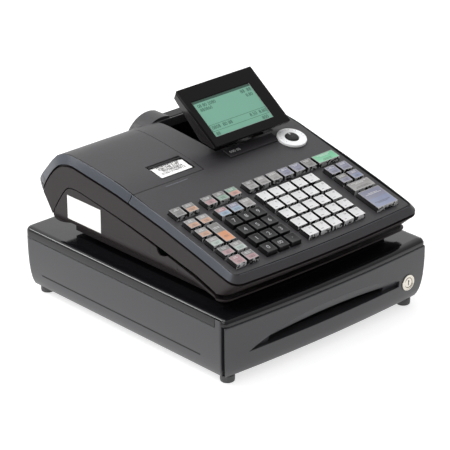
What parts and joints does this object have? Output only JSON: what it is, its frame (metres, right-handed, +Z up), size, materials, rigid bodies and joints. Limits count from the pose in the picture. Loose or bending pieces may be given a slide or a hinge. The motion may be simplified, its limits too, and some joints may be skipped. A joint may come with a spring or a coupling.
{
  "type": "electronic cash register",
  "caption": "Counter-top cash register with a sloped keyboard, tilting operator display, receipt printer under a hinged cover, and a lockable cash drawer beneath.",
  "frame": {"origin": "on the counter, in the middle of the footprint", "axes": "+X to the operator's right, +Y towards the customer's side, +Z up"},
  "size_m": [0.41, 0.4572, 0.3111],
  "materials": {
    "casing": "satin, fine grain",
    "cabinet": "smooth, semi-gloss",
    "feet": "matt",
    "steel": "zinc plated",
    "insert": "moulded, matt",
    "chrome": "bright",
    "black_plastic": "satin",
    "roller_rubber": "ground",
    "paper": "smooth thermal paper",
    "circuit_board": "green resist",
    "gloss_black": "high gloss",
    "screen": "green liquid crystal behind a clear pane",
    "dark_window": "smoked, glossy",
    "white_plastic": "glossy",
    "clear_grey_keys": "clear caps over tinted inserts",
    "blue_keys": "clear caps over tinted inserts",
    "green_keys": "clear cap over a tinted insert"
  },
  "bodies": {
    "base": {"cabinet_shell": "cabinet", "cabinet_cover": "cabinet", "foot_front_left": "feet", "foot_front_right": "feet", "foot_rear_left": "feet", "foot_rear_right": "feet", "slide_rail_left": "steel", "slide_rail_right": "steel", "drawer_latch": "steel", "lower_case": "casing", "middle_case": "casing", "top_case": "casing", "power_inlet": "black_plastic", "printer_mechanism": "black_plastic", "receipt_paper": "paper", "main_board": "circuit_board", "key_switch_board": "circuit_board", "display_neck": "gloss_black", "mode_ring": "white_plastic", "name_strip": "casing"},
    "drawer": {"drawer_front": "cabinet", "drawer_tray": "steel", "cash_insert": "insert", "lock_body": "chrome"},
    "bill_clip_1": {"bill_clip_1": "steel"},
    "bill_clip_2": {"bill_clip_2": "steel"},
    "bill_clip_3": {"bill_clip_3": "steel"},
    "bill_clip_4": {"bill_clip_4": "steel"},
    "lock_cylinder": {"lock_cylinder": "chrome"},
    "printer_cover": {"printer_cover": "casing"},
    "paper_roll": {"paper_roll": "paper"},
    "platen_roller": {"platen_roller": "roller_rubber"},
    "operator_display": {"display_back": "gloss_black", "display_bezel": "gloss_black", "display_panel": "screen"},
    "customer_display": {"customer_display_mast": "gloss_black", "customer_display_head": "gloss_black", "customer_display_window": "dark_window"},
    "mode_rotor": {"mode_rotor": "black_plastic"},
    "department_keys": {"department_keys": "white_plastic"},
    "back_row_keys": {"back_row_keys": "clear_grey_keys"},
    "left_keys": {"left_keys": "clear_grey_keys"},
    "upper_number_keys": {"upper_number_keys": "blue_keys"},
    "right_keys": {"right_keys": "blue_keys"},
    "feed_key": {"feed_key": "clear_grey_keys"},
    "green_key": {"green_key": "green_keys"},
    "subtotal_key": {"subtotal_key": "clear_grey_keys"},
    "total_key": {"total_key": "blue_keys"},
    "number_key_7": {"number_key_7": "black_plastic"},
    "number_key_8": {"number_key_8": "black_plastic"},
    "number_key_9": {"number_key_9": "black_plastic"},
    "number_key_4": {"number_key_4": "black_plastic"},
    "number_key_5": {"number_key_5": "black_plastic"},
    "number_key_6": {"number_key_6": "black_plastic"},
    "number_key_1": {"number_key_1": "black_plastic"},
    "number_key_2": {"number_key_2": "black_plastic"},
    "number_key_3": {"number_key_3": "black_plastic"},
    "number_key_0": {"number_key_0": "black_plastic"},
    "number_key_00": {"number_key_00": "black_plastic"},
    "number_key_point": {"number_key_point": "black_plastic"}
  },
  "joints": [
    {"name": "drawer_slide", "type": "slide", "parent": "base", "child": "drawer", "axis": [0, -1, 0], "range_m": [0, 0.3]},
    {"name": "bill_clip_1_lift", "type": "hinge", "parent": "drawer", "child": "bill_clip_1", "pos_m": [-0.13444, 0.11955, 0.083], "axis": [-1, 0, 0], "range_deg": [0, 28], "stiffness_Nm_per_rad": 0.02, "springref_deg": -34.38},
    {"name": "bill_clip_2_lift", "type": "hinge", "parent": "drawer", "child": "bill_clip_2", "pos_m": [-0.04481, 0.11955, 0.083], "axis": [-1, 0, 0], "range_deg": [0, 28], "stiffness_Nm_per_rad": 0.02, "springref_deg": -34.38},
    {"name": "bill_clip_3_lift", "type": "hinge", "parent": "drawer", "child": "bill_clip_3", "pos_m": [0.04481, 0.11955, 0.083], "axis": [-1, 0, 0], "range_deg": [0, 28], "stiffness_Nm_per_rad": 0.02, "springref_deg": -34.38},
    {"name": "bill_clip_4_lift", "type": "hinge", "parent": "drawer", "child": "bill_clip_4", "pos_m": [0.13444, 0.11955, 0.083], "axis": [-1, 0, 0], "range_deg": [0, 28], "stiffness_Nm_per_rad": 0.02, "springref_deg": -34.38},
    {"name": "lock_turn", "type": "hinge", "parent": "drawer", "child": "lock_cylinder", "pos_m": [0.166, -0.22445, 0.0476], "axis": [0, 1, 0], "range_deg": [0, 90]},
    {"name": "printer_cover_hinge", "type": "hinge", "parent": "base", "child": "printer_cover", "pos_m": [-0.11, 0.20955, 0.181], "axis": [-1, 0, 0], "range_deg": [0, 75]},
    {"name": "paper_roll_spin", "type": "hinge", "parent": "base", "child": "paper_roll", "pos_m": [-0.081, 0.09955, 0.19], "axis": [1, 0, 0], "continuous": true},
    {"name": "platen_spin", "type": "hinge", "parent": "base", "child": "platen_roller", "pos_m": [-0.081, 0.03355, 0.212], "axis": [1, 0, 0], "continuous": true},
    {"name": "operator_display_tilt", "type": "hinge", "parent": "base", "child": "operator_display", "pos_m": [0.068, 0.05155, 0.239], "axis": [1, 0, 0], "range_deg": [-20, 15]},
    {"name": "customer_display_rise", "type": "slide", "parent": "base", "child": "customer_display", "axis": [0, 0, 1], "range_m": [0, 0.05]},
    {"name": "mode_turn", "type": "hinge", "parent": "base", "child": "mode_rotor", "pos_m": [0.1365, -0.00236, 0.22205], "axis": [0, -0.2487, 0.9686], "range_deg": [-60, 60]},
    {"name": "department_keys_press", "type": "slide", "parent": "base", "child": "department_keys", "axis": [0, 0.2487, -0.9686], "range_m": [0, 0.003], "stiffness_N_per_m": 1500, "springref_m": -0.0025},
    {"name": "back_row_keys_press", "type": "slide", "parent": "base", "child": "back_row_keys", "axis": [0, 0.2487, -0.9686], "range_m": [0, 0.003], "stiffness_N_per_m": 1500, "springref_m": -0.0025},
    {"name": "left_keys_press", "type": "slide", "parent": "base", "child": "left_keys", "axis": [0, 0.2487, -0.9686], "range_m": [0, 0.003], "stiffness_N_per_m": 1500, "springref_m": -0.0025},
    {"name": "upper_number_keys_press", "type": "slide", "parent": "base", "child": "upper_number_keys", "axis": [0, 0.2487, -0.9686], "range_m": [0, 0.003], "stiffness_N_per_m": 1500, "springref_m": -0.0025},
    {"name": "right_keys_press", "type": "slide", "parent": "base", "child": "right_keys", "axis": [0, 0.2487, -0.9686], "range_m": [0, 0.003], "stiffness_N_per_m": 1500, "springref_m": -0.0025},
    {"name": "feed_key_press", "type": "slide", "parent": "base", "child": "feed_key", "axis": [0, 0.2487, -0.9686], "range_m": [0, 0.003], "stiffness_N_per_m": 250, "springref_m": -0.002},
    {"name": "green_key_press", "type": "slide", "parent": "base", "child": "green_key", "axis": [0, 0.2487, -0.9686], "range_m": [0, 0.003], "stiffness_N_per_m": 250, "springref_m": -0.002},
    {"name": "subtotal_key_press", "type": "slide", "parent": "base", "child": "subtotal_key", "axis": [0, 0.2487, -0.9686], "range_m": [0, 0.003], "stiffness_N_per_m": 250, "springref_m": -0.002},
    {"name": "total_key_press", "type": "slide", "parent": "base", "child": "total_key", "axis": [0, 0.2487, -0.9686], "range_m": [0, 0.003], "stiffness_N_per_m": 250, "springref_m": -0.002},
    {"name": "number_key_7_press", "type": "slide", "parent": "base", "child": "number_key_7", "axis": [0, 0.2487, -0.9686], "range_m": [0, 0.003], "stiffness_N_per_m": 250, "springref_m": -0.002},
    {"name": "number_key_8_press", "type": "slide", "parent": "base", "child": "number_key_8", "axis": [0, 0.2487, -0.9686], "range_m": [0, 0.003], "stiffness_N_per_m": 250, "springref_m": -0.002},
    {"name": "number_key_9_press", "type": "slide", "parent": "base", "child": "number_key_9", "axis": [0, 0.2487, -0.9686], "range_m": [0, 0.003], "stiffness_N_per_m": 250, "springref_m": -0.002},
    {"name": "number_key_4_press", "type": "slide", "parent": "base", "child": "number_key_4", "axis": [0, 0.2487, -0.9686], "range_m": [0, 0.003], "stiffness_N_per_m": 250, "springref_m": -0.002},
    {"name": "number_key_5_press", "type": "slide", "parent": "base", "child": "number_key_5", "axis": [0, 0.2487, -0.9686], "range_m": [0, 0.003], "stiffness_N_per_m": 250, "springref_m": -0.002},
    {"name": "number_key_6_press", "type": "slide", "parent": "base", "child": "number_key_6", "axis": [0, 0.2487, -0.9686], "range_m": [0, 0.003], "stiffness_N_per_m": 250, "springref_m": -0.002},
    {"name": "number_key_1_press", "type": "slide", "parent": "base", "child": "number_key_1", "axis": [0, 0.2487, -0.9686], "range_m": [0, 0.003], "stiffness_N_per_m": 250, "springref_m": -0.002},
    {"name": "number_key_2_press", "type": "slide", "parent": "base", "child": "number_key_2", "axis": [0, 0.2487, -0.9686], "range_m": [0, 0.003], "stiffness_N_per_m": 250, "springref_m": -0.002},
    {"name": "number_key_3_press", "type": "slide", "parent": "base", "child": "number_key_3", "axis": [0, 0.2487, -0.9686], "range_m": [0, 0.003], "stiffness_N_per_m": 250, "springref_m": -0.002},
    {"name": "number_key_0_press", "type": "slide", "parent": "base", "child": "number_key_0", "axis": [0, 0.2487, -0.9686], "range_m": [0, 0.003], "stiffness_N_per_m": 250, "springref_m": -0.002},
    {"name": "number_key_00_press", "type": "slide", "parent": "base", "child": "number_key_00", "axis": [0, 0.2487, -0.9686], "range_m": [0, 0.003], "stiffness_N_per_m": 250, "springref_m": -0.002},
    {"name": "number_key_point_press", "type": "slide", "parent": "base", "child": "number_key_point", "axis": [0, 0.2487, -0.9686], "range_m": [0, 0.003], "stiffness_N_per_m": 250, "springref_m": -0.002}
  ],
  "couplings": [
    {"joint": "paper_roll_spin", "follows": "platen_spin", "ratio": 0.17647}
  ]
}
